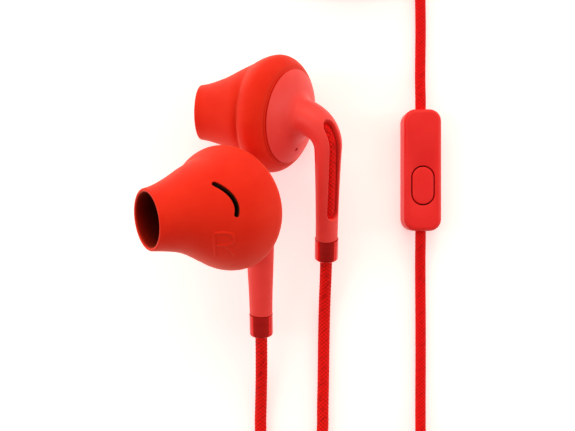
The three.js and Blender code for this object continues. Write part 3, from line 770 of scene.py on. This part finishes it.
def stem_slot_cutter(bud):
    """The long slot that shows the cord."""
    turn = SLOT["turn"]
    cos, sin = math.cos(turn), math.sin(turn)

    def point_at(run, sideways, height):
        distance = SLOT["from"] + run
        wide, deep = stem_section(distance)
        # Where a line straight away from the slot's plane leaves the stem's oval section.
        a = (sin / wide) ** 2 + (cos / deep) ** 2
        b = 2 * sideways * cos * sin * (1 / deep ** 2 - 1 / wide ** 2)
        c = sideways ** 2 * ((cos / wide) ** 2 + (sin / deep) ** 2) - 1
        surface = (-b + math.sqrt(b * b - 4 * a * c)) / (2 * a)
        centre, across, away = stem_frame(distance, turn)
        return bud.place(centre + across * sideways + away * (surface + height))

    length = SLOT["to"] - SLOT["from"]
    return slot_cutter(point_at, length, SLOT["width"] / 2, SLOT["depth"], SLOT["round"])


def port_cutter(bud):
    """A short round hole, square to the rear dome."""
    x, y = PORT["at"]
    z = -BULB_REAR_DEPTH * math.sqrt(1 - (x * x + y * y) / BULB_RADIUS ** 2)
    out = unit((x / BULB_RADIUS ** 2, y / BULB_RADIUS ** 2, z / BULB_REAR_DEPTH ** 2))
    side = unit(np.cross(out, (1, 0, 0)))
    other = np.cross(out, side)
    steps, radius = 24, PORT["radius"]
    rim = oval(np.array([x, y, z]), radius * side, radius * other, round_angles(steps))
    verts = bud.place(np.vstack((rim - out * PORT["depth"], rim + out)))
    return verts, bands(2, steps) + ends(2, steps)


def rear_shell(bud):
    """The rear housing and the stem in one surface: up the cup's inside, round its edge, over the
    dome and down the stem."""
    angles = round_angles(128)
    rings = [circle(r, z, angles) for r, z in CUP]
    start = math.asin(REAR_DOME["depth"] / BULB_REAR_DEPTH)
    for t in np.linspace(start, math.acos(REAR_DOME["radius"] / BULB_RADIUS), 18):
        rings.append(circle(BULB_RADIUS * math.cos(t), -BULB_REAR_DEPTH * math.sin(t), angles))
    for distance in np.concatenate((np.linspace(-1.05, 1, 22), np.linspace(1.2, FOOT_DISTANCE, 64))):
        centre, across, away = stem_frame(distance)
        wide, deep = stem_section(distance)
        rings.append(oval(centre, wide * across, deep * away, angles))
    shell = loft(f"{bud.side}_rear", [bud.place(ring) for ring in rings], SHELL, sharp=35)
    cut(shell, *stem_slot_cutter(bud))
    cut(shell, *port_cutter(bud))
    settle(shell, "earphones", "shell_plastic", f"{bud.side}_rear_shell")


def collar(bud):
    """The glossy ring at the stem's foot. Its lower edge is well rounded."""
    start, end, radius, bore = (COLLAR[key] for key in ("start", "end", "radius", "bore"))
    inside = (bore, start + 0.3)
    profile = rounded([inside, (bore, start), (radius, start)], 0.05)[:-1]
    profile += rounded([(radius, start), (radius, end), (bore, end)], COLLAR["round"], 9) + [inside]

    def place(ring):
        return bud.place(np.column_stack((ring[:, 0], STEM_FOOT - ring[:, 2], ring[:, 1] - STEM_BACK)))

    ring = turned(f"{bud.side}_collar_ring", profile, RED_METAL, place, 96)
    settle(ring, "earphones", "red_metal", f"{bud.side}_collar")


# ---- the driver's front

def front_shell(bud):
    """The driver's housing with its spout, and the grille in the spout."""
    shell = turned(f"{bud.side}_front", rounded(FRONT_SHELL, 0.25, 4), BLACK, bud.place)
    settle(shell, "earphones", "black_plastic", f"{bud.side}_front_shell")
    grille = turned(f"{bud.side}_grille", GRILLE_DISC, GRILLE, bud.place, 48)
    settle(grille, "earphones", "steel", f"{bud.side}_front_grille")


# ---- cords

def braid_relief(angle, along, cell):
    """The height of a plain braid, from 0 in its gaps to 1 on top of a strand."""
    rising = angle / TAU * BRAID_STRANDS + along / cell
    falling = angle / TAU * BRAID_STRANDS - along / cell
    tops = [np.sin(math.pi * (one % 1)) * (0.5 + 0.5 * np.sin(math.pi * (other % 1)))
            for one, other in ((rising, falling), (falling, rising))]
    odd = (np.floor(rising) + np.floor(falling)) % 2
    return np.where(odd > 0.5, tops[1], tops[0])


def tube_rings(path, diameter, cell, is_fine):
    """Rings along a path, which are close together and braided where is_fine says so of a point."""
    total = lengths(path)
    stations = [0.0]
    while stations[-1] < total[-1]:
        here = np.array([np.interp(stations[-1], total, path[:, i]) for i in range(3)])
        stations.append(stations[-1] + (FINE_STEP if is_fine(here) else COARSE_STEP))
    stations = np.array(stations[:-1] + [total[-1]])
    points = np.column_stack([np.interp(stations, total, path[:, i]) for i in range(3)])
    tangents = np.gradient(points, axis=0)
    tangents /= np.linalg.norm(tangents, axis=1, keepdims=True)
    side = unit(np.cross(tangents[0], (0, 0, 1)))
    angles = round_angles(32)
    rings = []
    for point, tangent, s in zip(points, tangents, stations):
        side = unit(side - tangent * (side @ tangent))
        up = np.cross(side, tangent)
        relief = BRAID_RELIEF if is_fine(point) else 0.0
        radius = diameter / 2 + relief * (braid_relief(angles, s, cell) - BRAID_MEAN)
        across = np.outer(radius * np.cos(angles), side) + np.outer(radius * np.sin(angles), up)
        rings.append(point + across)
    return rings, points, stations


def coil_points(coil, cord):
    """The wound turns, from where the cord reaches the coil to where it leaves."""
    layers = coil["layers"]
    total = sum(layers)
    steps = round(total * POINTS_PER_TURN)
    bottom = cord / 2 + COIL_LIFT
    x, y = coil["centre"]
    points = []
    for turn in np.linspace(0, total, steps + 1):
        inward, rise, begun = 0.0, 0.0, 0.0
        for index, turns in enumerate(layers):
            inward += (-1) ** index * min(max(turn - begun, 0), turns)
            begun += turns
            if index + 1 < len(layers):
                rise += float(smoothstep((turn - begun + CLIMB) / CLIMB))
        radius = coil["outer"] - TURN_SPACING * cord * inward
        angle = math.radians(coil["start"]) + TAU * turn
        points.append((x + radius * math.cos(angle), y + radius * math.sin(angle),
                       bottom + LAYER_RISE * cord * rise))
    return points


def free_cord(name, points, kind, nodes, **facts):
    """A cord that lies free, through the points. Its strands are modelled only in the picture."""
    diameter, cell, material, slot = kind
    rings, centres, along = tube_rings(spline(points), diameter, cell, lambda p: abs(p[1]) < VIEW_EDGE)
    cord = loft(name, [lay(ring) for ring in rings], material, along=along)
    settle(cord, "earphones", slot, *nodes)
    line = lay(centres)


def stem_cord(bud):
    """The stretch of cord inside the stem, from above the slot to inside the collar."""
    path = []
    for distance in np.arange(-0.4, FOOT_DISTANCE + 2.9, 0.1):
        centre, _, away = stem_frame(distance, SLOT["turn"])
        path.append(centre + away * cord_offset(distance))
    diameter = BRANCH_CORD - STEM_CORD_EASE
    rings, _, along = tube_rings(np.array(path), diameter, BRANCH_CELL, lambda p: True)
    placed = [bud.place(ring) for ring in rings]
    cord = loft(f"{bud.side}_stem_braid", placed, BRANCH_BRAID, along=along)
    settle(cord, "earphones", "branch_braid", f"{bud.side}_stem_cord")


# ---- the remote and splitter

def rounded_outline(width, length, corner, count=96):
    """Points round a rounded rectangle, evenly spaced, starting on its +X side."""
    x, y = width / 2 - corner, length / 2 - corner
    loop = [(width / 2, 0)]
    for cx, cy, start in ((x, y, 0), (-x, y, 90), (-x, -y, 180), (x, -y, 270)):
        for t in np.radians(np.linspace(start, start + 90, 24)):
            loop.append((cx + corner * math.cos(t), cy + corner * math.sin(t)))
    loop = np.array([*loop, (width / 2, 0)])
    total = lengths(loop)
    marks = np.linspace(0, total[-1], count, endpoint=False)
    return np.column_stack([np.interp(marks, total, loop[:, i]) for i in range(2)])


def layered(name, layers, place, loop=True):
    """A shell through flat outlines, each with its height."""
    rings = [np.column_stack((outline, np.full(len(outline), z))) for outline, z in layers]
    return loft(name, [lay(ring, place) for ring in rings], REMOTE_RED, loop=loop, sharp=35)


def inset(size, amount):
    """The outline of a part of this size, moved inwards."""
    corner = max(size["corner"] - amount, 0.2)
    return rounded_outline(size["width"] - 2 * amount, size["length"] - 2 * amount, corner)


def quarter(edge, steps=7):
    """Insets and drops of a rounded edge, from the side wall to the flat face."""
    turns = np.linspace(0, math.pi / 2, steps)
    return [(edge * (1 - math.cos(t)), edge * (1 - math.sin(t))) for t in turns]


def half_shell(name, node, size, up, hole=None):
    """One of two shells that meet halfway up. The upper one may have a hole for a button."""
    wall, bevel = size["wall"], 0.07
    side = 1 if up else -1
    seam = size["height"] / 2 + side * SHELL_GAP / 2
    face = size["height"] if up else 0.0
    layers = [(inset(size, wall), seam), (inset(size, bevel), seam),
              (inset(size, 0), seam + side * bevel)]
    edge = size["edge"] if up else FOOT_EDGE
    layers += [(inset(size, i), face - side * drop) for i, drop in quarter(edge)]
    if hole is not None:
        layers += [(hole(grow), face - side * drop)
                   for grow, drop in ((0.09, 0.0), (0.03, 0.03), (0.0, 0.1), (0.0, wall))]
    else:
        centre = inset(size, size["width"] / 2 - 0.25)
        layers += [(centre, face), (centre, face - side * wall)]
    layers.append((inset(size, wall), face - side * wall))
    return settle(layered(name, layers, size["place"]), "earphones", "remote_plastic", node)


def button_outline(grow):
    wide, long = (BUTTON[key] + 2 * grow for key in ("width", "length"))
    return rounded_outline(wide, long, BUTTON["width"] / 2 + grow) + np.array([0, BUTTON["offset"]])


def remote_key():
    """The button, which is slightly domed."""
    groove, top, foot, core = -BUTTON["groove"], REMOTE["height"], 2.6, 1.55
    layers = [(groove - core, foot), (groove, foot), (groove, top - 0.2)]
    layers += [(groove - i, top + 0.02 - drop) for i, drop in quarter(0.18, 5)]
    layers += [(groove - 0.9, top + 0.05), (groove - core, top + 0.06)]
    outlines = [(button_outline(grow), z) for grow, z in layers]
    button = layered("remote_key", outlines, REMOTE["place"], loop=False)
    return settle(button, "button", "remote_plastic", "remote_button")


def remote():
    return [
        half_shell("remote_front", "remote_front_shell", REMOTE, True, button_outline),
        half_shell("remote_back", "remote_rear_shell", REMOTE, False),
        remote_key(),
    ]


def splitter():
    return [
        half_shell("splitter_top", "splitter_upper_shell", SPLITTER, True),
        half_shell("splitter_base", "splitter_lower_shell", SPLITTER, False),
    ]


# ---- the plug

def plug_direction():
    heading, slope = math.radians(PLUG["heading"]), math.radians(PLUG["slope"])
    flat = math.cos(slope)
    return np.array([math.cos(heading) * flat, math.sin(heading) * flat, -math.sin(slope)])


def relief_profile():
    """The strain relief: four ribs that get wider towards the grip."""
    profile = [(PLUG_BORE, 0.05), (1.2, 0.0)]
    for i in range(4):
        z, radius, groove = 0.5 + i * 1.05, 1.4 + 0.12 * i, 0.22
        low = radius - groove
        profile += [(radius, z), (radius, z + 0.62), (low, z + 0.7), (low, z + 0.98)]
    end = PLUG["relief"] - 0.1
    return profile + [(1.9, end - 0.1), (1.9, end), (PLUG_BORE, end)]


def contact(start, end, radius):
    """A plain cylinder's profile."""
    return [(AXIS, start), (radius, start), (radius, end), (AXIS, end)]


def plug():
    along = plug_direction()
    across = unit(np.cross((0, 0, 1), along))
    up = np.cross(along, across)

    def place(ring):
        spot = np.outer(ring[:, 2], along) + np.outer(ring[:, 0], across) + np.outer(ring[:, 1], up)
        return lay(spot + np.array(PLUG["start"]))

    grip_start, shoulder = PLUG["relief"], PLUG["relief"] + PLUG["grip"] + 0.1
    # Each piece: its name, its node, its profile from where it starts, its finish, its slot and
    # the rounding of its edges.
    shapes = [
        ("plug_boot", "plug_strain_relief", 0.0, relief_profile(), RELIEF, "plug_relief", 0.1),
        ("plug_body", "plug_grip", grip_start, PLUG_GRIP, RED_METAL, "red_metal", 0.12),
        ("plug_contact_sleeve", "plug_sleeve", shoulder, PLUG_SLEEVE, GOLD, "gold", 0.08),
    ]
    for i, low in enumerate((5.0, 8.0, 11.0), 1):
        insulation = contact(low + 0.02, low + 0.68, PIN_RADIUS - 0.02)
        shapes.append((f"plug_insulation_{i}", f"plug_insulator_{i}", shoulder, insulation, BLACK,
                       "black_plastic", 0.02))
        if i < 3:
            ring = contact(low + 0.7, low + 3.0, PIN_RADIUS)
            shapes.append((f"plug_contact_ring_{i}", f"plug_ring_{i}", shoulder, ring, GOLD,
                           "gold", 0.05))
    shapes.append(("plug_contact_tip", "plug_tip", shoulder, PLUG_TIP, GOLD, "gold", 0.18))
    made = []
    for name, node, base, corners, material, slot, rounding in shapes:
        profile = rounded([(r, z + base) for r, z in corners], rounding, 4)
        made.append(settle(turned(name, profile, material, place), "earphones", slot, node))
    return made


# ---- the hidden CAD pieces

INNER_FINISHES = {
    "magnet_cup": STEEL, "magnet": MAGNET, "top_plate": STEEL, "voice_coil": COPPER, "diaphragm": FILM,
    "driver_frame": BLACK, "driver_board": BOARD,
    "circuit_board": BOARD, "switch": BLACK, "microphone": STEEL,
}


def finish_inner_nodes():
    """Gives the CAD pieces that no visual piece replaces their finishes."""
    for name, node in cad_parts.items():
        part = name.split("_", 1)[1]
        if part in INNER_FINISHES:
            node.data.materials.clear()
            node.data.materials.append(INNER_FINISHES[part])


# ---- floor, light and camera

def floor():
    """A pale floor that glows a little, for the picture's background is white."""
    reach = 3.0  # metres each way
    mesh = bpy.data.meshes.new("floor")
    corners = [(-reach, -reach, 0), (reach, -reach, 0), (reach, reach, 0), (-reach, reach, 0)]
    mesh.from_pydata(corners, [], [(0, 1, 2, 3)])
    g = Graph("floor")
    g.surface(g.ramp(g.noise(40, 3), (0.3, (0.93, 0.93, 0.93)), (0.7, (0.95, 0.95, 0.95))), 0.85,
              {"Specular IOR Level": 0.1, "Emission Color": (0.94, 0.97, 1.0, 1),
               "Emission Strength": 0.38})
    mesh.materials.append(g.material)
    plane = add("floor", mesh)
    plane.location = (0, 0, -FLOOR_DROP * MM)


def area_light(name, place, target, size, power, color=(1, 1, 1)):
    """A soft light. Its place and target are in millimetres from the middle of the picture."""
    data = bpy.data.lights.new(name, "AREA")
    data.shape = "RECTANGLE"
    data.size, data.size_y = (s * MM for s in size)
    data.energy = power
    data.color = color
    light = add(name, data)
    light.location = lay(place)
    aim = Vector(lay(target)) - light.location
    light.rotation_euler = aim.to_track_quat("-Z", "Y").to_euler()


def lighting():
    """A soft surrounding, bright and a little warm towards +Y and dim towards -Y, with three
    soft lights."""
    world = bpy.data.worlds.new("studio")
    world.use_nodes = True
    tree = world.node_tree
    direction = tree.nodes.new("ShaderNodeTexCoord")
    split = tree.nodes.new("ShaderNodeSeparateXYZ")
    share = tree.nodes.new("ShaderNodeMapRange")
    share.inputs["From Min"].default_value = -1.0  # the direction's Y goes from -1 to 1
    shade = tree.nodes.new("ShaderNodeMix")
    shade.data_type = "RGBA"
    shade.inputs[MIX_A].default_value = (*WORLD_LIGHT["low"], 1)
    shade.inputs[MIX_B].default_value = (*WORLD_LIGHT["high"], 1)
    tree.links.new(direction.outputs["Generated"], split.inputs[0])
    tree.links.new(split.outputs["Y"], share.inputs["Value"])
    tree.links.new(share.outputs[0], shade.inputs["Factor"])
    tree.links.new(shade.outputs[MIX_RESULT], tree.nodes["Background"].inputs["Color"])
    bpy.context.scene.world = world
    for name, facts in LIGHTS.items():
        area_light(name, **facts)


def camera():
    data = bpy.data.cameras.new("camera")
    data.sensor_width = CAMERA_SENSOR
    data.lens = CAMERA_LENS
    data.clip_start = 0.005
    made = add("camera", data)
    made.location = lay((0, 0, CAMERA_HEIGHT))
    bpy.context.scene.camera = made


camera()
lighting()
floor()

for side in BUDS:
    bud = Bud(side)
    silicone_cover(bud)
    rear_shell(bud)
    collar(bud)
    stem_cord(bud)
    front_shell(bud)

remote_pieces = remote()
splitter_pieces = splitter()
plug_pieces = plug()
finish_inner_nodes()

# A kind of cord: its diameter, the length of its braid's cell, its finish and its slot.
BRANCH = (BRANCH_CORD, BRANCH_CELL, BRANCH_BRAID, "branch_braid")
MAIN = (MAIN_CORD, MAIN_CELL, MAIN_BRAID, "main_braid")

for side, last, pieces in (("left", "fitting", splitter_pieces), ("right", "object", ())):
    upper, lower = ROUTES[f"{side}_cord_upper"], ROUTES[f"{side}_cord_lower"]
    free_cord(f"{side}_cord", upper + coil_points(COILS[side], BRANCH_CORD) + lower, BRANCH,
              [f"{side}_cord_upper", f"{side}_cord_coil", f"{side}_cord_lower"],
              exit=lay(upper[0]), far_end=last, lay="coiled", with_pieces=pieces)
route = ROUTES["main_cord_lower"]
free_cord("main_cord_below_remote", route, MAIN, ["main_cord_lower"],
          exit=lay(route[0]), far_end="fitting", lay="loose", with_pieces=remote_pieces)
route = ROUTES["main_cord_upper"]
plug_entry = tuple(np.array(PLUG["start"]) + PLUG_SEAT * plug_direction())
free_cord("main_cord", route + coil_points(COILS["main"], MAIN_CORD) + [plug_entry], MAIN,
          ["main_cord_upper", "main_cord_coil"],
          exit=lay(route[0]), far_end="plug", lay="coiled", with_pieces=plug_pieces)

bpy.context.scene.view_settings.view_transform = "Standard"
